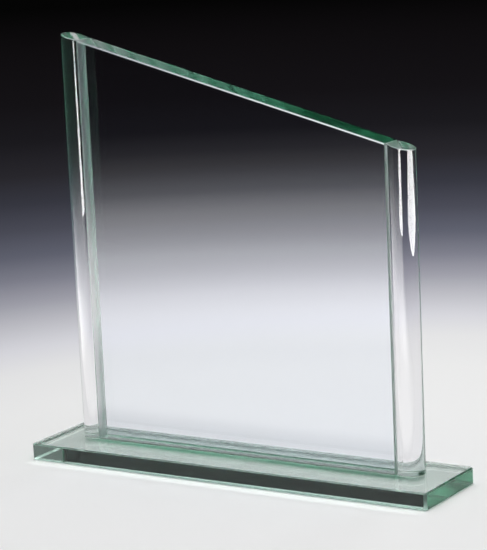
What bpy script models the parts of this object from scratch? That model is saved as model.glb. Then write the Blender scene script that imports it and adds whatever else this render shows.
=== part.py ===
"""Glass award: a clear upright panel with a sloping top, between two solid rods, on a plate.

Four cut and polished pieces of glass, bonded with clear light-cured adhesive. Nothing moves.
Units are metres. +Z is up, +X runs along the base plate, +Y points to the back.
The origin is the centre of the base plate's underside, so the award stands on z = 0.
"""

import math

import bmesh
import bpy
from mathutils import Vector

MM = 0.001

# Base plate: a cut length of 10 mm plate glass, lying flat.
BASE_WIDTH = 260.0 * MM
BASE_DEPTH = 57.0 * MM
BASE_THICKNESS = 10.0 * MM
BASE_CORNER = 1.5 * MM  # flat ground on each upright corner

# Upright panel: 15 mm plate glass, square to the base at its foot and ends.
PANEL_THICKNESS = 15.0 * MM

# Solid round rods, one at each end of the panel, square cut at the foot.
# A flat is ground along each rod, and the panel's end is bonded to it.
ROD_DIAMETER = 16.0 * MM
ROD_SPACING = 209.2 * MM  # centre to centre
ROD_FLAT = 5.6 * MM  # rod's centre to its flat
ROD_RIM = 0.35 * MM  # chamfer around each end

# One plane cuts the panel and both rods at the top, high on the left.
TOP_HEIGHT = 218.3 * MM  # height of that plane above the award's centre
TOP_SLOPE = math.radians(14.7)

# The row of uprights stands a little behind the middle of the base plate.
UPRIGHT_SETBACK = 3.3 * MM

# Polished chamfer around the base plate, and along the panel's top and foot.
EDGE_CHAMFER = 0.7 * MM

# Adhesive: a film between two flat faces.
JOINT = 0.5 * MM  # distance from glass to glass
FILM = 0.3 * MM  # thickness of adhesive, centred in the joint

# Facets and angles.
ROD_FACETS = 64
SHARP_ANGLE = math.radians(30.0)
RIGHT_ANGLE_LIMIT = math.radians(50.0)  # bevels the square edges, not a ground corner

# Worked out from the sizes above.
CLEARANCE = (JOINT - FILM) / 2
ROD_RADIUS = ROD_DIAMETER / 2
ROD_X = ROD_SPACING / 2
FLAT_WIDTH = 2 * math.sqrt(ROD_RADIUS**2 - ROD_FLAT**2)
PANEL_WIDTH = 2 * (ROD_X - ROD_FLAT - JOINT)
UPRIGHT_FOOT = BASE_THICKNESS + JOINT
BLANK_TOP = TOP_HEIGHT + ROD_SPACING * math.tan(TOP_SLOPE)  # taller than any finished upright

SIDES = {"left": -1, "right": 1}

# Colour, roughness and metallic value of each kind of material.
PLATE_GLASS = ((0.62, 0.78, 0.70, 1.0), 0.02, 0.0)
ROD_GLASS = ((0.86, 0.88, 0.87, 1.0), 0.02, 0.0)
CURED_ADHESIVE = ((0.90, 0.91, 0.90, 1.0), 0.10, 0.0)


def clear_scene():
    """Remove every object, so that the script always starts from an empty scene."""
    for obj in list(bpy.data.objects):
        bpy.data.objects.remove(obj, do_unlink=True)


def new_collection(name):
    """Make a collection and link it to the scene."""
    collection = bpy.data.collections.new(name)
    bpy.context.scene.collection.children.link(collection)
    return collection


def new_material(name, finish):
    """Make one piece's own material from its colour, roughness and metallic value."""
    colour, roughness, metallic = finish
    material = bpy.data.materials.new(name)
    material.use_nodes = True
    shader = material.node_tree.nodes["Principled BSDF"]
    shader.inputs["Base Color"].default_value = colour
    shader.inputs["Roughness"].default_value = roughness
    shader.inputs["Metallic"].default_value = metallic
    material.diffuse_color = colour
    return material


def new_piece(name, mesh_tool, collection, finish):
    """Turn an edited mesh into a named object with its own material."""
    mesh = bpy.data.meshes.new(name)
    bmesh.ops.recalc_face_normals(mesh_tool, faces=mesh_tool.faces[:])
    mesh_tool.to_mesh(mesh)
    mesh_tool.free()
    piece = bpy.data.objects.new(name, mesh)
    collection.objects.link(piece)
    mesh.materials.append(new_material(name, finish))
    return piece


def block(width, depth, low, high):
    """A box centred on the Z axis, from height low to height high."""
    blank = bmesh.new()
    made = bmesh.ops.create_cube(blank, size=1.0)
    bmesh.ops.scale(blank, vec=(width, depth, high - low), verts=made["verts"])
    bmesh.ops.translate(blank, vec=(0.0, 0.0, (low + high) / 2), verts=made["verts"])
    return blank


def cylinder(radius, low, high):
    """A round bar on the Z axis, from height low to height high."""
    blank = bmesh.new()
    made = bmesh.ops.create_cone(
        blank, cap_ends=True, segments=ROD_FACETS, radius1=radius, radius2=radius, depth=high - low
    )
    bmesh.ops.translate(blank, vec=(0.0, 0.0, (low + high) / 2), verts=made["verts"])
    return blank


def move(blank, x, y):
    """Shift a blank sideways to its place in the award."""
    bmesh.ops.translate(blank, vec=(x, y, 0.0), verts=blank.verts[:])


def saw(blank, point, normal):
    """Cut away all of a blank that lies beyond a plane."""
    geometry = blank.verts[:] + blank.edges[:] + blank.faces[:]
    bmesh.ops.bisect_plane(blank, geom=geometry, plane_co=point, plane_no=normal, clear_outer=True)
    rim = [edge for edge in blank.edges if edge.is_boundary]
    bmesh.ops.edgeloop_fill(blank, edges=rim)


def cut_slope(blank, drop=0.0):
    """Saw a blank along the sloping top plane, or along one that lies drop below it."""
    normal = Vector((math.sin(TOP_SLOPE), 0.0, math.cos(TOP_SLOPE)))
    saw(blank, Vector((0.0, 0.0, TOP_HEIGHT)) - drop * normal, normal)


def chamfer_edges(piece, width, angle):
    """Grind a flat chamfer along every edge sharper than the given angle."""
    bevel = piece.modifiers.new("chamfer", "BEVEL")
    bevel.width = width
    bevel.segments = 1
    bevel.limit_method = "ANGLE"
    bevel.angle_limit = angle


def shade_round(piece):
    """Smooth a round side and keep its ends crisp."""
    piece.data.shade_smooth()
    piece.data.set_sharp_from_angle(angle=SHARP_ANGLE)


def base_plate(collection):
    """The flat plate that the award stands on."""
    blank = block(BASE_WIDTH, BASE_DEPTH, 0.0, BASE_THICKNESS)
    corners = [edge for edge in blank.edges if abs(edge.verts[0].co.z - edge.verts[1].co.z) > MM]
    bmesh.ops.bevel(blank, geom=corners, offset=BASE_CORNER, segments=1, affect="EDGES")
    piece = new_piece("base_plate", blank, collection, PLATE_GLASS)
    chamfer_edges(piece, EDGE_CHAMFER, RIGHT_ANGLE_LIMIT)


def glass_panel(collection):
    """The clear upright panel, its top edge cut to the slope, its ends left square."""
    blank = block(PANEL_WIDTH, PANEL_THICKNESS, UPRIGHT_FOOT, BLANK_TOP)
    move(blank, 0.0, UPRIGHT_SETBACK)
    cut_slope(blank)
    long_edges = [edge for edge in blank.edges if abs(edge.verts[0].co.x - edge.verts[1].co.x) > MM]
    bmesh.ops.bevel(blank, geom=long_edges, offset=EDGE_CHAMFER, segments=1, affect="EDGES")
    new_piece("glass_panel", blank, collection, PLATE_GLASS)


def side_rod(side, collection):
    """A solid rod with its flat towards the panel, its top cut to the same slope."""
    sign = SIDES[side]
    blank = cylinder(ROD_RADIUS, UPRIGHT_FOOT, BLANK_TOP)
    saw(blank, Vector((-sign * ROD_FLAT, 0.0, 0.0)), Vector((-sign, 0.0, 0.0)))
    move(blank, sign * ROD_X, UPRIGHT_SETBACK)
    cut_slope(blank)
    piece = new_piece(f"{side}_rod", blank, collection, ROD_GLASS)
    chamfer_edges(piece, ROD_RIM, RIGHT_ANGLE_LIMIT)
    shade_round(piece)


def panel_foot_film(collection):
    """Adhesive under the panel, as far as the flat of its foot."""
    width = PANEL_WIDTH - 2 * EDGE_CHAMFER
    depth = PANEL_THICKNESS - 2 * EDGE_CHAMFER
    low = BASE_THICKNESS + CLEARANCE
    blank = block(width, depth, low, low + FILM)
    move(blank, 0.0, UPRIGHT_SETBACK)
    new_piece("panel_foot_adhesive", blank, collection, CURED_ADHESIVE)


def rod_foot_film(side, collection):
    """Adhesive under one rod, as far as its foot is level."""
    sign = SIDES[side]
    low = BASE_THICKNESS + CLEARANCE
    blank = cylinder(ROD_RADIUS - ROD_RIM, low, low + FILM)
    saw(blank, Vector((-sign * (ROD_FLAT - ROD_RIM), 0.0, 0.0)), Vector((-sign, 0.0, 0.0)))
    move(blank, sign * ROD_X, UPRIGHT_SETBACK)
    piece = new_piece(f"{side}_rod_foot_adhesive", blank, collection, CURED_ADHESIVE)
    shade_round(piece)


def rod_side_film(side, collection):
    """Adhesive between one rod's flat and the panel's end."""
    blank = block(FILM, FLAT_WIDTH - 2 * ROD_RIM, UPRIGHT_FOOT + EDGE_CHAMFER, BLANK_TOP)
    move(blank, SIDES[side] * (PANEL_WIDTH + JOINT) / 2, UPRIGHT_SETBACK)
    cut_slope(blank, drop=EDGE_CHAMFER)
    new_piece(f"{side}_rod_side_adhesive", blank, collection, CURED_ADHESIVE)


def build():
    """Make every piece of the award."""
    clear_scene()
    award = new_collection("glass_award")
    base_plate(award)
    glass_panel(award)
    panel_foot_film(award)
    for side in SIDES:
        side_rod(side, award)
        rod_foot_film(side, award)
        rod_side_film(side, award)


build()
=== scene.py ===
# %% [markdown]
# # A glass award with a sloping top
# Four pieces of glass stand here: a base plate, an upright panel, and a round rod at each end of the
# panel. Clear adhesive, cured by ultraviolet light, holds them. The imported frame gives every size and
# place. This lesson models the polished pieces on it, and then the light that makes them look like glass.

# %% Load the frame
import math

import bmesh
import bpy
from mathutils import Matrix, Vector


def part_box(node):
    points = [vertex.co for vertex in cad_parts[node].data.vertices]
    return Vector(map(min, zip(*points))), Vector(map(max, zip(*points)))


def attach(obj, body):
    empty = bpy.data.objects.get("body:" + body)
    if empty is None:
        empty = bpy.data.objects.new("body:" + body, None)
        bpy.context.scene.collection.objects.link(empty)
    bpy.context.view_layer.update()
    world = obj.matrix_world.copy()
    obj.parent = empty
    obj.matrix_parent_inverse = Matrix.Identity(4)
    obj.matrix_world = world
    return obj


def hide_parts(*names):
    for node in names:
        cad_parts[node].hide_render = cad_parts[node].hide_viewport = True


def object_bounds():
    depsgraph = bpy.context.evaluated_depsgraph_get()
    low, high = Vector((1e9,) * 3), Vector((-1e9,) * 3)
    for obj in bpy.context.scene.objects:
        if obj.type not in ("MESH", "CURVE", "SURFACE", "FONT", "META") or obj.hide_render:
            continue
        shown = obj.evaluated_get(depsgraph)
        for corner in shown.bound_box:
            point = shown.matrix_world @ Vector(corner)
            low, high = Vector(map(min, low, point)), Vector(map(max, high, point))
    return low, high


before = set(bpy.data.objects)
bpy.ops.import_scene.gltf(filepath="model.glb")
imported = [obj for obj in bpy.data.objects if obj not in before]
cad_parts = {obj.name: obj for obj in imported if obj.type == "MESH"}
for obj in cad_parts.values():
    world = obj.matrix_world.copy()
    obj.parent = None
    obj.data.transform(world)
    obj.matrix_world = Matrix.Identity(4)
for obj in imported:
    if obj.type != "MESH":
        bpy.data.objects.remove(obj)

MM = 0.001
X, Y, Z = Vector((1, 0, 0)), Vector((0, 1, 0)), Vector((0, 0, 1))
CAD_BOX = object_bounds()
print("award, mm:", [round(size / MM, 1) for size in CAD_BOX[1] - CAD_BOX[0]])

# %% [markdown]
# ## Sizes that the frame gives
# A glass shop works from a cutting list: plate thickness, rod diameter, and the one saw line that
# crosses the panel and both rods. All of it is read from the boxes of the frame's nodes.

# %% Read the cutting list
BASE_LOW, BASE_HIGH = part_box("base_plate")
PANEL_LOW, PANEL_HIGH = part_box("glass_panel")
SIDES = ("left", "right")
ROD_BOX = {side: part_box(f"{side}_rod") for side in SIDES}
BASE_TOP = BASE_HIGH.z
ROW_Y = (PANEL_LOW.y + PANEL_HIGH.y) / 2
ROD_RADIUS = (ROD_BOX["left"][1].y - ROD_BOX["left"][0].y) / 2
ROD_X = {"left": ROD_BOX["left"][0].x + ROD_RADIUS, "right": ROD_BOX["right"][1].x - ROD_RADIUS}
ROD_TOP = {side: ROD_BOX[side][1].z for side in SIDES}
print("plate, mm:", round(BASE_TOP / MM, 1), "panel, mm:", round((PANEL_HIGH.y - PANEL_LOW.y) / MM, 1))
print("rod, mm:", round(2 * ROD_RADIUS / MM, 1), "apart:", round((ROD_X["right"] - ROD_X["left"]) / MM, 1))

# %% [markdown]
# Both rods are the same bar under the same saw, so the difference between their tops gives the slope.
# The grinder leaves a flat chamfer, called an arris, along an edge, because a sharp edge chips and
# cuts. An arris is a little under 1 mm wide on plate, and half that on a rod.

# %% The saw line and the chamfers
ARRIS = 0.7 * MM
CORNER = 1.5 * MM  # flats on the base plate's upright corners
ROD_RIM = 0.35 * MM  # around each end of a rod
SLOPE = math.atan2(ROD_TOP["left"] - ROD_TOP["right"], ROD_BOX["right"][0].x - ROD_BOX["left"][0].x)
SAW_NORMAL = Vector((math.sin(SLOPE), 0.0, math.cos(SLOPE)))
SAW_POINT = Vector((ROD_BOX["left"][0].x + ROD_RIM * math.cos(SLOPE), ROW_Y, ROD_TOP["left"]))
print("slope, degrees:", round(math.degrees(SLOPE), 2))

# %% [markdown]
# Bonded faces have no air between them: the adhesive bends light as the glass does, so a joint almost
# disappears. A gap of air would shine like silver instead. So each bonded face reaches a hair into its
# neighbour.

# %% How far bonded faces reach into each other
CONTACT = 0.04 * MM
FOOT = BASE_TOP - CONTACT
print("foot of the uprights, mm:", round(FOOT / MM, 2))

# %% [markdown]
# ## Helpers for modelling
# Operators act on all that is selected. So a piece is opened alone, with nothing in it selected, and
# its edges and faces are then picked by where they are and which way they face.

# %% Open, pick and close
def open_piece(piece):
    """Put one piece alone in edit mode."""
    bpy.ops.object.select_all(action="DESELECT")
    piece.select_set(True)
    bpy.context.view_layer.objects.active = piece
    bpy.ops.object.mode_set(mode="EDIT")
    bpy.ops.mesh.select_all(action="DESELECT")


def pick(kind, test):
    """Select the edges or faces of the open piece that pass a test."""
    bpy.ops.mesh.select_mode(type=kind)
    bpy.ops.mesh.select_all(action="DESELECT")
    mesh = bmesh.from_edit_mesh(bpy.context.object.data)
    for element in list(mesh.edges if kind == "EDGE" else mesh.faces):
        if test(element):
            element.select_set(True)
    bmesh.update_edit_mesh(bpy.context.object.data)


def close_piece():
    """Leave edit mode with the normals outward and the place in the mesh."""
    bpy.ops.mesh.select_all(action="SELECT")
    bpy.ops.mesh.normals_make_consistent(inside=False)
    bpy.ops.object.mode_set(mode="OBJECT")
    bpy.ops.object.transform_apply(location=True, rotation=True, scale=True)


# %% [markdown]
# Every piece starts as sawn stock: a block cut from plate, or a length of round bar.

# %% Sawn stock
ROD_SIDES = 192  # enough that light bends through the rod as through a true round


def plate_stock(name, low, high):
    """A block of plate glass between two corners."""
    bpy.ops.object.select_all(action="DESELECT")
    size = high - low
    bpy.ops.mesh.primitive_cube_add(size=1.0, location=(low + high) / 2, scale=size)
    piece = bpy.context.object
    piece.name = name
    bpy.ops.object.transform_apply(location=True, rotation=True, scale=True)
    return piece


def round_stock(name, radius, x, low, high):
    """A length of round bar standing in the row of uprights."""
    bpy.ops.object.select_all(action="DESELECT")
    bpy.ops.mesh.primitive_cylinder_add(
        vertices=ROD_SIDES, radius=radius, depth=high - low, location=(x, ROW_Y, (low + high) / 2)
    )
    piece = bpy.context.object
    piece.name = name
    bpy.ops.object.transform_apply(location=True, rotation=True, scale=True)
    return piece


# %% [markdown]
# The saw and the grinder come next. A bisect with its cut filled is a saw cut. A bevel of one segment
# is a ground chamfer, and a second, very small bevel is the soft line that polishing leaves where the
# chamfer meets a face.

# %% Saw and grinder
SQUARE_EDGE = math.radians(50.0)  # edges sharper than this get a chamfer
CHAMFER_EDGE = math.radians(25.0)  # and edges sharper than this are eased by polishing
EASED = 0.1 * MM


def saw(point, normal):
    """Cut away all of the open piece beyond a plane, and fill the cut."""
    bpy.ops.mesh.select_all(action="SELECT")
    bpy.ops.mesh.bisect(plane_co=point, plane_no=normal, use_fill=True, clear_outer=True)


def saw_slope(drop=0.0):
    """Cut the open piece along the award's slope, or a little below it."""
    saw(SAW_POINT - drop * SAW_NORMAL, SAW_NORMAL)


def sharper(angle):
    """A test for edges where the surface turns by more than an angle."""
    return lambda edge: edge.is_manifold and edge.calc_face_angle() > angle


def grind(width, test=None):
    """Chamfer the square edges of the open piece, then ease the chamfer's own edges."""
    pick("EDGE", test or sharper(SQUARE_EDGE))
    bpy.ops.mesh.bevel(offset=width, segments=1, affect="EDGES")
    pick("EDGE", sharper(CHAMFER_EDGE))
    bpy.ops.mesh.bevel(offset=EASED, segments=2, affect="EDGES")


# %% [markdown]
# The finish differs over one piece: float faces are bright from the furnace, cut edges are polished by
# machine, the arris stays a little dull, and an end that will be bonded is only ground. Each face
# carries three numbers that say so, and the glass material reads them: how dull it is, whether the
# polishing wheel left its lines there, and whether it has the cool tint of the large upright faces.

# %% Mark each face's finish
ALONG = 0.995  # cosine within which a face counts as lying square to a direction
BRIGHT, POLISHED, EASED_DULL, GROUND = 0.0, 0.05, 0.3, 0.7


def looks(face, directions):
    """Whether a face looks in one of these directions."""
    return any(face.normal.dot(direction) > ALONG for direction in directions)


def mark_finish(piece, polished=(), ground=(), cool=(), bright=(), is_round=False):
    """Write on each face how dull it is, if it has wheel lines, and if it has the cool tint.

    Each word takes the directions that its faces look in. Faces left over are arrises.
    """
    values = {"dull": [], "lined": [], "cool": []}
    for face in piece.data.polygons:
        on_side = is_round and abs(face.normal.z) < 1 - ALONG
        dull = EASED_DULL
        if on_side or looks(face, (*bright, *cool)):
            dull = BRIGHT
        if looks(face, polished):
            dull = POLISHED
        if looks(face, ground):
            dull = GROUND
        values["dull"].append(dull)
        values["lined"].append(1.0 if looks(face, (SAW_NORMAL,)) else 0.0)
        values["cool"].append(1.0 if on_side or looks(face, cool) else 0.0)
    for name, numbers in values.items():
        layer = piece.data.attributes.new(name, "FLOAT", "FACE")
        layer.data.foreach_set("value", numbers)
    print(piece.name, "faces:", len(piece.data.polygons), "arris faces:", values["dull"].count(EASED_DULL))


# %% [markdown]
# ## Material helpers
# Colours are written as sRGB hex, as a colour picker shows them, and turned to the linear values that
# light adds up in.

# %% Colour and node helpers
def linear(hex_colour):
    """An sRGB hex colour as linear red, green, blue and alpha."""
    parts = [int(hex_colour[i : i + 2], 16) / 255 for i in (0, 2, 4)]
    return (*[c / 12.92 if c <= 0.04045 else ((c + 0.055) / 1.055) ** 2.4 for c in parts], 1.0)


def add_node(tree, kind, settings=(), links=()):
    """Add a node, set its sockets and properties by name, and link its inputs."""
    node = tree.nodes.new(kind)
    for name, value in dict(settings).items():
        if isinstance(name, str) and hasattr(node, name):
            setattr(node, name, value)
        else:
            node.inputs[name].default_value = value
    for name, socket in dict(links).items():
        tree.links.new(socket, node.inputs[name])
    return node


def empty_material(name):
    """A material whose tree holds nothing yet."""
    material = bpy.data.materials.new(name)
    material.use_nodes = True
    material.node_tree.nodes.clear()
    return material


# %% [markdown]
# ## Polished soda-lime glass
# Ordinary plate glass holds a little iron, which takes red light first and then blue. Through its
# thickness the glass looks clear, and along it the light has 200 mm to travel and comes out bottle
# green. So the colour isn't painted on: it is an absorption inside the piece, per metre of path.

# %% Absorption inside the glass
def absorb(tree, per_metre):
    """An absorption of light inside a piece, from the loss of red, green and blue per metre."""
    most = max(per_metre)
    return add_node(
        tree,
        "ShaderNodeVolumeAbsorption",
        {"Color": (*[1 - 0.5 * loss / most for loss in per_metre], 1.0), "Density": most / 0.5},
    )


# %% [markdown]
# Float faces are perfectly smooth. The arris is ground with a fine diamond and only lightly polished,
# so it scatters and shows as a pale line, a little uneven because the grit is. The face's own number
# says how dull it is, and fine noise makes that vary.

# %% How dull each face is
DULLEST = 1.0  # roughness where a face's number is 1
UNEVEN = 0.1  # how far the grit makes it vary
GRIT_SCALE = 0.25 / ARRIS


def dullness(tree, place, dull):
    """The roughness of a face, from its number and the grit that ground it."""
    grit = add_node(tree, "ShaderNodeTexNoise", {"Scale": GRIT_SCALE, "Detail": 3.0}, {"Vector": place})
    uneven = add_node(
        tree,
        "ShaderNodeMapRange",
        {"To Min": (1 - UNEVEN) * DULLEST, "To Max": (1 + UNEVEN) * DULLEST},
        {"Value": grit.outputs["Fac"]},
    )
    return add_node(
        tree, "ShaderNodeMath", {"operation": "MULTIPLY"}, {0: uneven.outputs["Result"], 1: dull}
    )


# %% [markdown]
# The sawn tops are polished with felt and cerium oxide, and the wheel leaves shallow slanted marks on
# them. The marks are a wave, a little distorted, that stands at an angle to the top.

# %% Marks of the polishing wheel
WHEEL_LINE = 2.2 * MM  # from one mark to the next
WHEEL_DEPTH = 0.02 * MM
WHEEL_SLANT = (0.0, math.radians(35.0), math.radians(20.0))
WAVE_AT_SCALE_1 = 0.1 * math.pi  # length of one wave of the texture, in metres


def wheel_marks(tree, place, lined):
    """Shallow slanted marks on the faces that the wheel has lined."""
    slanted = add_node(tree, "ShaderNodeMapping", {"Rotation": WHEEL_SLANT}, {"Vector": place})
    wheel = add_node(
        tree,
        "ShaderNodeTexWave",
        {"Scale": WAVE_AT_SCALE_1 / WHEEL_LINE, "Distortion": 1.5, "Detail": 2.0, "Detail Scale": 2.0},
        {"Vector": slanted.outputs[0]},
    )
    shown = add_node(
        tree, "ShaderNodeMath", {"operation": "MULTIPLY"}, {0: wheel.outputs["Fac"], 1: lined}
    )
    depth = add_node(
        tree, "ShaderNodeMath", {"operation": "MULTIPLY", 1: WHEEL_DEPTH}, {0: shown.outputs[0]}
    )
    return add_node(
        tree, "ShaderNodeBump", {"Strength": 1.0, "Distance": 1.0}, {"Height": depth.outputs[0]}
    )


# %% [markdown]
# Glass is a clear surface that bends light, round a volume that absorbs it. Soda-lime float bends it by
# 1.52 and the rods' glass by 1.50. The rods hold less iron. The adhesive is nearly colourless and bends
# light as the plate does, which is why it was chosen.

# %% Make the three clear materials
PLATE_IOR = 1.52
ROD_IOR = 1.50


def polished_glass(name, ior, per_metre, tint="FFFFFF"):
    """Glass that is bright on its faces, lined on its sawn top and dull on its arrises."""
    material = empty_material(name)
    tree = material.node_tree
    place = add_node(tree, "ShaderNodeTexCoord").outputs["Object"]
    mark = {
        word: add_node(tree, "ShaderNodeAttribute", {"attribute_name": word}).outputs["Fac"]
        for word in ("dull", "lined", "cool")
    }
    rough = dullness(tree, place, mark["dull"])
    marks = wheel_marks(tree, place, mark["lined"])
    cool = add_node(
        tree,
        "ShaderNodeMix",
        {"data_type": "RGBA", 6: linear("FFFFFF"), 7: linear(tint)},
        {0: mark["cool"]},
    )
    glass = add_node(
        tree,
        "ShaderNodeBsdfPrincipled",
        {"IOR": ior, "Transmission Weight": 1.0},
        {"Base Color": cool.outputs[2], "Roughness": rough.outputs[0], "Normal": marks.outputs[0]},
    )
    inside = absorb(tree, per_metre)
    add_node(
        tree, "ShaderNodeOutputMaterial", {}, {"Surface": glass.outputs[0], "Volume": inside.outputs[0]}
    )
    return material


PLATE_GLASS = polished_glass("polished_plate_glass", PLATE_IOR, (8.0, 3.3, 5.0), tint="FBF6FF")
ROD_GLASS = polished_glass("polished_rod_glass", ROD_IOR, (4.0, 1.6, 2.6), tint="FFFAFE")
ADHESIVE = polished_glass("cured_clear_adhesive", PLATE_IOR, (2.0, 1.5, 2.0))
print("clear materials:", [glass.name for glass in (PLATE_GLASS, ROD_GLASS, ADHESIVE)])

# %% [markdown]
# ## Finishing a piece
# A finished piece gets its glass, rides on the award's body and stands for its node in the frame.

# %% Hand a piece to the frame
BODY = "root"
ROUND_EDGE = math.radians(4.0)  # a rod's facets turn by less, its rim by more


def finish_piece(piece, glass, node, smooth=False):
    """Give a piece its glass and put it in its node's place."""
    piece.data.materials.clear()
    piece.data.materials.append(glass)
    if smooth:
        bpy.ops.object.shade_smooth_by_angle(angle=ROUND_EDGE)
    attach(piece, BODY)
    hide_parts(node)
    low, high = Vector(piece.bound_box[0]), Vector(piece.bound_box[6])
    print(piece.name, "mm:", [round(size / MM, 2) for size in high - low])


# %% [markdown]
# ## Base plate
# The base is a strip of 10 mm plate. Its four upright corners are ground off first, so that nobody is
# scratched by them, and then the arris runs round the top and the bottom.

# %% Model the base plate
base = plate_stock("base_plate_glass", BASE_LOW, BASE_HIGH)
open_piece(base)
pick("EDGE", lambda edge: abs(edge.verts[0].co.z - edge.verts[1].co.z) > ARRIS)
bpy.ops.mesh.bevel(offset=CORNER, segments=1, affect="EDGES")
grind(ARRIS)
close_piece()
mark_finish(base, bright=(Z, -Z), polished=(X, -X, Y, -Y))
finish_piece(base, PLATE_GLASS, "base_plate")

# %% [markdown]
# ## Panel
# The panel is a block of 15 mm plate that the saw crosses at the slope. It reaches down to the base
# plate's top face, where the adhesive film is far too thin to see. Only its top and foot get an arris:
# its ends are left square, and ground, for the rods.

# %% Model the panel
SPARE = Vector((0.0, 0.0, ROD_TOP["left"] - PANEL_HIGH.z + ROD_RADIUS))  # stock above the saw line
panel = plate_stock("panel_glass", Vector((PANEL_LOW.x, PANEL_LOW.y, FOOT)), PANEL_HIGH + SPARE)
open_piece(panel)
saw_slope()
grind(ARRIS, test=lambda edge: abs(edge.verts[0].co.x - edge.verts[1].co.x) > ARRIS)
close_piece()
mark_finish(panel, cool=(Y, -Y), polished=(-Z, SAW_NORMAL), ground=(X, -X))
finish_piece(panel, PLATE_GLASS, "glass_panel")

# %% [markdown]
# ## Rods
# Each rod is a length of clear bar, fire polished on its round side by the furnace. A flat is ground
# along it, so that it meets the panel's end over a width and not only along a line. Both rods are cut by
# the same saw line as the panel, so all three tops lie in one plane.

# %% Model the rods
INWARD = {"left": 1.0, "right": -1.0}
JOINT_X = {side: INWARD[side] * (PANEL_LOW.x + CONTACT) for side in SIDES}

for side in SIDES:
    rod = round_stock(f"{side}_rod_glass", ROD_RADIUS, ROD_X[side], FOOT, ROD_TOP[side] + 2 * ROD_RADIUS)
    open_piece(rod)
    saw(Vector((JOINT_X[side], ROW_Y, 0.0)), INWARD[side] * X)
    saw_slope()
    grind(ROD_RIM)
    close_piece()
    mark_finish(rod, polished=(-Z, SAW_NORMAL), is_round=True)
    finish_piece(rod, ROD_GLASS, f"{side}_rod", smooth=True)

# %% [markdown]
# ## Adhesive beads
# The rod's flat is narrower than the panel is thick. So the adhesive that is squeezed out of the joint
# stays in the groove on both sides of the flat, between the panel's end and the round of the rod. Each
# pair of beads starts as one block across the joint, and the rod's full round is taken out of it.

# %% Model the beads between rods and panel
BEAD = 1.2 * MM  # how far the adhesive comes out of the joint
FLAT = ROD_X["right"] - JOINT_X["right"]
FLAT_WIDTH = 2 * math.sqrt(ROD_RADIUS**2 - FLAT**2)
print("flat on each rod, mm:", round(FLAT_WIDTH / MM, 1))

for side in SIDES:
    inner = JOINT_X[side] + INWARD[side] * CONTACT
    outer = JOINT_X[side] - INWARD[side] * 2 * BEAD
    reach = FLAT_WIDTH / 2 + BEAD
    low = Vector((min(inner, outer), ROW_Y - reach, BASE_TOP + ARRIS))
    high = Vector((max(inner, outer), ROW_Y + reach, ROD_TOP[side] + ROD_RADIUS))
    bead = plate_stock(f"{side}_rod_side_bead", low, high)
    open_piece(bead)
    saw_slope(drop=ARRIS)
    close_piece()
    hollow = round_stock("rod_space", ROD_RADIUS - CONTACT, ROD_X[side], 0.0, high.z + ROD_RADIUS)
    cut = bead.modifiers.new("rod_space", "BOOLEAN")
    cut.operation = "DIFFERENCE"
    cut.solver = "EXACT"
    cut.object = hollow
    bpy.ops.object.select_all(action="DESELECT")
    bead.select_set(True)
    bpy.context.view_layer.objects.active = bead
    bpy.ops.object.modifier_apply(modifier=cut.name)
    bpy.data.objects.remove(hollow)
    mark_finish(bead, bright=(X, -X, Y, -Y, Z, -Z, SAW_NORMAL), is_round=True)
    finish_piece(bead, ADHESIVE, f"{side}_rod_side_adhesive", smooth=True)

# %% [markdown]
# ## Adhesive at the feet
# Under the panel and the rods the film can't be seen, but a little adhesive is squeezed out all round
# and cures in the groove under each foot's chamfer. Each bead is a thin ring. It starts as a block, or
# as a disc cut off at the rod's flat, and its middle is then inset and opened.

# %% Model the rings of squeezed-out adhesive
SQUEEZE = 0.45 * MM  # how far the adhesive comes out past the flat of the foot


def open_middle(width):
    """Turn the open piece into a ring, by insetting its top and bottom and joining the two."""
    pick("FACE", lambda face: abs(face.normal.z) > ALONG)
    bpy.ops.mesh.inset(thickness=width, use_boundary=True)
    bpy.ops.mesh.bridge_edge_loops()


def foot_ring(piece, node, smooth):
    """Open a foot's ring and hand it to the frame."""
    open_piece(piece)
    open_middle(SQUEEZE + CONTACT)
    close_piece()
    mark_finish(piece, bright=(X, -X, Y, -Y, Z, -Z), is_round=True)
    finish_piece(piece, ADHESIVE, node, smooth)


low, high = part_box("panel_foot_adhesive")
spread = Vector((SQUEEZE, SQUEEZE, 0.0))
low.z, high.z = FOOT, BASE_TOP + SQUEEZE
foot_ring(plate_stock("panel_foot_bead", low - spread, high + spread), "panel_foot_adhesive", False)
for side in SIDES:
    node = f"{side}_rod_foot_adhesive"
    low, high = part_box(node)
    radius = (high.y - low.y) / 2 + SQUEEZE  # front to back, which the flat doesn't shorten
    disc = round_stock(f"{side}_rod_foot_bead", radius, ROD_X[side], FOOT, BASE_TOP + SQUEEZE)
    open_piece(disc)
    saw(Vector((JOINT_X[side], ROW_Y, 0.0)), INWARD[side] * X)
    bpy.ops.object.mode_set(mode="OBJECT")
    foot_ring(disc, node, True)

# %% [markdown]
# ## Fades by distance
# The table, and later a glowing sheet that lies on it, change with distance from a point. One helper
# measures that distance as a share of a reach, and puts tones along it.

# %% Tones by distance
def fade_by_distance(tree, place, centre, reach, tones):
    """A ramp over the distance from a centre. Each tone is a share of the reach, and a colour."""
    away = add_node(tree, "ShaderNodeVectorMath", {"operation": "DISTANCE", 1: centre}, {0: place})
    share = add_node(
        tree, "ShaderNodeMath", {"operation": "DIVIDE", 1: reach}, {0: away.outputs["Value"]}
    )
    ramp = add_node(tree, "ShaderNodeValToRGB", {}, {"Fac": share.outputs[0]})
    stops = ramp.color_ramp.elements
    stops[0].color = tones[0][1]
    stops[1].color = tones[-1][1]
    for stop, colour in tones[1:-1]:
        stops.new(stop).color = colour
    return ramp
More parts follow.
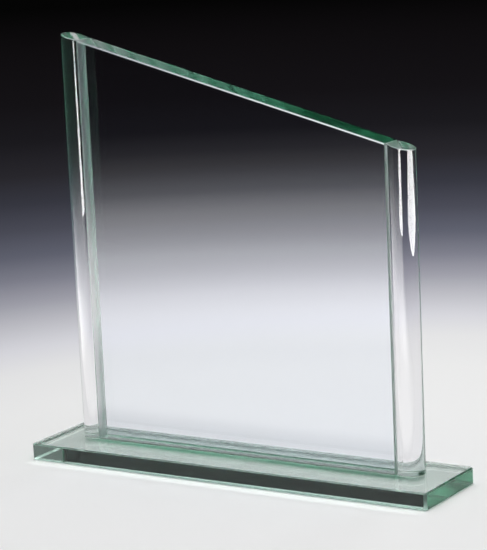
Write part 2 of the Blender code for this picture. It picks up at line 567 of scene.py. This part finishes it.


# %% [markdown]
# ## Floor
# The award is shown on a plain pale table that falls away into the dark, because glass is drawn by what
# it shows behind it: pale low down, dark higher up. The fall is a pool of light painted into the table's
# colour, by distance.

# %% Model the floor
FLOOR_DROP = 0.15 * MM  # a plate never touches a table all over
FLOOR_RADIUS = 30.0
bpy.ops.object.select_all(action="DESELECT")
bpy.ops.mesh.primitive_circle_add(
    vertices=96, radius=FLOOR_RADIUS, fill_type="NGON", location=(0.0, 0.0, -FLOOR_DROP)
)
floor = bpy.context.object
floor.name = "floor"
print("floor, m across:", 2 * FLOOR_RADIUS)

# %% [markdown]
# The tones are a painted pool of light, from near white at the award to near black three metres away.
# The paint is matt and has no shine, so the table shows no second picture of the lamps.

# %% Paint a pool of light on the floor
POOL_CENTRE = Vector((0.06, 0.02, 0.0))
POOL_TONES = (  # metres from the centre, and colour
    (0.00, "F0F0F0"),
    (0.26, "EAEAEA"),
    (0.35, "E3E3E4"),
    (0.415, "D5D5DB"),
    (0.485, "BDBDC4"),
    (0.56, "9E9EA8"),
    (0.65, "7C7D89"),
    (0.75, "5E606D"),
    (0.875, "494A55"),
    (1.02, "363740"),
    (1.20, "28272C"),
    (1.45, "1B1A1E"),
    (1.80, "151316"),
    (2.50, "100E10"),
    (3.30, "050505"),
)
POOL_REACH = POOL_TONES[-1][0]

# The table's colour holds painted light: a pool that is bright at the award and dark far from it.
pool = empty_material("table_with_painted_light_pool")
tree = pool.node_tree
place = add_node(tree, "ShaderNodeTexCoord").outputs["Object"]
pool_tones = [(reach / POOL_REACH, linear(tone)) for reach, tone in POOL_TONES]
tones = fade_by_distance(tree, place, POOL_CENTRE, POOL_REACH, pool_tones)
paint = add_node(
    tree,
    "ShaderNodeBsdfPrincipled",
    {"Roughness": 0.9, "Specular IOR Level": 0.0},
    {"Base Color": tones.outputs["Color"]},
)
add_node(tree, "ShaderNodeOutputMaterial", {}, {"Surface": paint.outputs[0]})
floor.data.materials.append(pool)
print("tones on the floor:", len(tones.color_ramp.elements))

# %% [markdown]
# ## Light
# The room is dark at eye level and has a soft bright ceiling. A level face seen from slightly above
# mirrors what lies low behind it, which is dark, so the glass stays clear while the ceiling lights the
# table evenly.

# %% Light the room
CEILING_FROM, CEILING_TO = 0.72, 0.92  # sine of the elevation where the ceiling begins and is full
CEILING_GLOW = 2.8

scene = bpy.context.scene
scene.view_settings.view_transform = "Standard"

room = bpy.data.worlds.new("soft_ceiling")
scene.world = room
room.use_nodes = True
tree = room.node_tree
tree.nodes.clear()
look = add_node(tree, "ShaderNodeTexCoord").outputs["Generated"]
rise = add_node(tree, "ShaderNodeSeparateXYZ", {}, {0: look}).outputs["Z"]
ceiling = add_node(
    tree,
    "ShaderNodeMapRange",
    {
        "interpolation_type": "SMOOTHSTEP",
        "From Min": CEILING_FROM,
        "From Max": CEILING_TO,
        "To Min": 0.0,
        "To Max": CEILING_GLOW,
    },
    {"Value": rise},
)
glow = add_node(
    tree, "ShaderNodeBackground", {"Color": linear("FFFFFF")}, {"Strength": ceiling.outputs["Result"]}
)
add_node(tree, "ShaderNodeOutputWorld", {}, {"Surface": glow.outputs[0]})
print("ceiling begins at, degrees:", round(math.degrees(math.asin(CEILING_FROM))))

# %% [markdown]
# A lamp is placed as someone walks round the award: by azimuth, elevation and distance. Any kind of ray
# may be told to pass it by, so that a lamp lights the table without showing in the glass, or shows in
# the glass without lighting the table.

# %% Helpers for lamps
AWARD_MIDDLE = Vector((0.0, 0.0, CAD_BOX[1].z / 2))


def area_lamp(name, width, depth, power):
    """A soft rectangular lamp that shines straight down until it is turned."""
    data = bpy.data.lights.new(name, "AREA")
    data.shape = "RECTANGLE"
    data.size, data.size_y = width, depth
    data.energy = power
    lamp = bpy.data.objects.new(name, data)
    scene.collection.objects.link(lamp)
    print(name, "watts:", round(power, 3))
    return lamp


def watts(radiance, width, depth):
    """The power that gives a lamp of this size a certain radiance."""
    return radiance * math.pi * width * depth


def pass_by(thing, *rays):
    """Let these kinds of ray miss a lamp or a sheet."""
    for ray in rays:
        setattr(thing, f"visible_{ray}", False)


def way_to(azimuth, elevation):
    """The direction from the award. Azimuth 0 is in front of it, 90 at its right."""
    turn, rise = math.radians(azimuth), math.radians(elevation)
    return Vector((math.sin(turn) * math.cos(rise), -math.cos(turn) * math.cos(rise), math.sin(rise)))


def soft_lamp(name, azimuth, elevation, distance, width, height, power):
    """A soft lamp that faces the award."""
    lamp = area_lamp(name, width, height, power)
    way = way_to(azimuth, elevation)
    lamp.rotation_mode = "QUATERNION"
    lamp.rotation_quaternion = (-way).to_track_quat("-Z", "Y")
    lamp.location = AWARD_MIDDLE + way * distance
    return lamp


# %% [markdown]
# Two weak lamps stand behind the award. One gives its far edges an outline and throws light through it
# onto the table. The other shows only in the glass, and lifts the left end of the base plate.

# %% Lamps behind the award
soft_lamp("back_lamp", azimuth=176.0, elevation=35.0, distance=1.6, width=0.6, height=0.3, power=3.0)
wall_glow = soft_lamp(
    "wall_glow", azimuth=150.0, elevation=12.0, distance=2.0, width=1.4, height=0.7, power=0.5
)
pass_by(wall_glow, "camera", "diffuse")

# %% [markdown]
# Upright glass seen from above mirrors only what lies below eye level. So the bright streaks down the
# rods come from two long lamps that lie on the table. A lamp's azimuth sets where its streak runs, its
# width how broad the streak is, and its near end how far down the streak reaches.

# %% Lamps on the table
TABLE_LAMP_HEIGHT = 2 * MM


def table_lamp(name, azimuth, near, far, width, radiance):
    """A long lamp that lies on the table, points at the award and shines up, seen only in glass."""
    length = far - near
    lamp = area_lamp(name, width, length, watts(radiance, width, length))
    lamp.location = way_to(azimuth, 0.0) * (near + far) / 2
    lamp.location.z = TABLE_LAMP_HEIGHT
    lamp.rotation_euler = (math.pi, 0.0, -math.radians(180.0 - azimuth))
    pass_by(lamp, "camera", "diffuse")
    return lamp


table_lamp("wide_table_lamp", azimuth=97.5, near=0.78, far=2.4, width=1.0, radiance=18.0)
narrow_lamp = table_lamp(
    "narrow_table_lamp", azimuth=16.8, near=0.80, far=2.6, width=0.34, radiance=19.0
)
pass_by(narrow_lamp, "transmission")  # so that the panel never shows it through its face

# %% [markdown]
# Light that has gone down through the plate and up from the table is slow to follow. Two thin lamps
# stand in for it: one between the base plate and the table, and one for the bright line on the table
# along the plate's front. The glass doesn't show them.

# %% Light that the base plate passes on
PAD_MARGIN = 3 * MM
PAD_RADIANCE = 0.13
LINE_DEPTH = 7 * MM
LINE_RADIANCE = 0.15
LINE_HEIGHT = 0.5 * MM

base_width, base_depth = BASE_HIGH.x - BASE_LOW.x, BASE_HIGH.y - BASE_LOW.y
pad_width, pad_depth = base_width - 2 * PAD_MARGIN, base_depth - 2 * PAD_MARGIN
light_pad = area_lamp("light_pad", pad_width, pad_depth, watts(PAD_RADIANCE, pad_width, pad_depth))
light_pad.location = (0.0, 0.0, -0.5 * FLOOR_DROP)

edge_glow = area_lamp("edge_glow", base_width, LINE_DEPTH, watts(LINE_RADIANCE, base_width, LINE_DEPTH))
edge_glow.location = (0.0, BASE_LOW.y - LINE_DEPTH / 2, LINE_HEIGHT)

for stand_in in (light_pad, edge_glow):
    pass_by(stand_in, "camera", "glossy", "transmission")

# %% [markdown]
# ## Glowing sheet
# The panel's front face works as a weak mirror. A sheet of tracing paper, lit from below, lies on the
# table in front of the award and out of view. The panel shows it as a pale veil, strongest at half
# height, where the table behind is already dark.

# %% Model the glowing sheet
SHEET_NEAR = 0.068  # in front of the award's middle, and clear of the base plate
SHEET_LONG, SHEET_WIDE = 1.6, 1.7
SHEET_LEFT = -0.45  # the sheet lies to the left, where the panel mirrors it
SHEET_HEIGHT = 1 * MM

bpy.ops.object.select_all(action="DESELECT")
bpy.ops.mesh.primitive_plane_add(
    size=1.0, location=(SHEET_LEFT, -SHEET_NEAR - SHEET_LONG / 2, SHEET_HEIGHT)
)
sheet = bpy.context.object
sheet.scale = (SHEET_WIDE, SHEET_LONG, 1.0)
sheet.name = "glowing_sheet"
bpy.ops.object.transform_apply(location=True, rotation=True, scale=True)
pass_by(sheet, "camera", "diffuse", "transmission", "shadow")
print("sheet, m:", SHEET_LONG, "by", SHEET_WIDE)

# %% [markdown]
# The glow changes with distance from the award, and it fades out at the sheet's front and sides, so
# that the panel never shows a hard edge.

# %% Light the glowing sheet
SHEET_GLOW = (  # metres from the award, and strength
    (0.07, 3.1),
    (0.20, 2.9),
    (0.25, 3.1),
    (0.31, 3.3),
    (0.373, 5.3),
    (0.44, 7.4),
    (0.513, 8.2),
    (0.594, 7.0),
    (0.68, 6.4),
    (0.776, 4.5),
    (0.882, 3.3),
    (1.0, 1.4),
    (1.13, 0.6),
    (1.274, 0.15),
    (1.45, 0.0),
)
SHEET_PEAK = max(strength for _, strength in SHEET_GLOW)
SOFT_EDGES = (  # axis, metres where the glow begins, metres where it is full
    ("Y", -SHEET_NEAR, -0.11),
    ("X", -1.3, -0.9),
    ("X", 0.4, 0.15),
)
BLACK = (0.0, 0.0, 0.0, 1.0)

back_lit = empty_material("back_lit_tracing_paper")
tree = back_lit.node_tree
place = add_node(tree, "ShaderNodeTexCoord").outputs["Object"]
greys = [(reach / SHEET_LONG, strength / SHEET_PEAK) for reach, strength in SHEET_GLOW]
sheet_tones = [(0.0, BLACK), *[(share, (grey, grey, grey, 1.0)) for share, grey in greys], (1.0, BLACK)]
fade = fade_by_distance(tree, place, Vector((0.0, 0.0, 0.0)), SHEET_LONG, sheet_tones)
power = add_node(
    tree, "ShaderNodeMath", {"operation": "MULTIPLY", 1: SHEET_PEAK}, {0: fade.outputs["Color"]}
).outputs[0]
axes = add_node(tree, "ShaderNodeSeparateXYZ", {}, {0: place}).outputs
for axis, begins, full in SOFT_EDGES:
    edge_fade = add_node(
        tree,
        "ShaderNodeMapRange",
        {"interpolation_type": "SMOOTHSTEP", "From Min": begins, "From Max": full},
        {"Value": axes[axis]},
    ).outputs["Result"]
    power = add_node(
        tree, "ShaderNodeMath", {"operation": "MULTIPLY"}, {0: power, 1: edge_fade}
    ).outputs[0]
shine = add_node(tree, "ShaderNodeEmission", {"Color": linear("F2F1EF")}, {"Strength": power})
add_node(tree, "ShaderNodeOutputMaterial", {}, {"Surface": shine.outputs[0]})
sheet.data.materials.append(back_lit)
print("strongest glow:", SHEET_PEAK)

# %% [markdown]
# ## Camera
# A long lens, well back and a little above the panel's middle, to the right of the award. It is rolled
# slightly, so the uprights lean.

# %% Place the camera
YAW = math.radians(32.265)
PITCH = math.radians(11.243)
ROLL = math.radians(-2.585)
LENS = 156.56  # mm
DISTANCE = 1.337  # metres from the point it aims at
AIM = Vector((0.003, 0.0019, 0.1138))

back = Vector((math.sin(YAW) * math.cos(PITCH), -math.cos(YAW) * math.cos(PITCH), math.sin(PITCH)))
level = Vector((math.cos(YAW), math.sin(YAW), 0.0))
upright = back.cross(level)
across = math.cos(ROLL) * level + math.sin(ROLL) * upright
above = -math.sin(ROLL) * level + math.cos(ROLL) * upright
camera_data = bpy.data.cameras.new("camera")
camera_data.lens = LENS
camera = bpy.data.objects.new("camera", camera_data)
scene.collection.objects.link(camera)
turned = Matrix((across, above, back)).transposed().to_4x4()
camera.matrix_world = Matrix.Translation(AIM + back * DISTANCE) @ turned
scene.camera = camera
print("camera height, m:", round(camera.matrix_world.translation.z, 3))

# %% [markdown]
# Light goes back and forth many times inside polished glass, so it is followed for longer than usual.

# %% Follow light through the glass
BOUNCES = 128
scene.cycles.max_bounces = BOUNCES
scene.cycles.transmission_bounces = BOUNCES
scene.cycles.glossy_bounces = BOUNCES
scene.cycles.blur_glossy = 0.0
print("bounces:", scene.cycles.max_bounces)
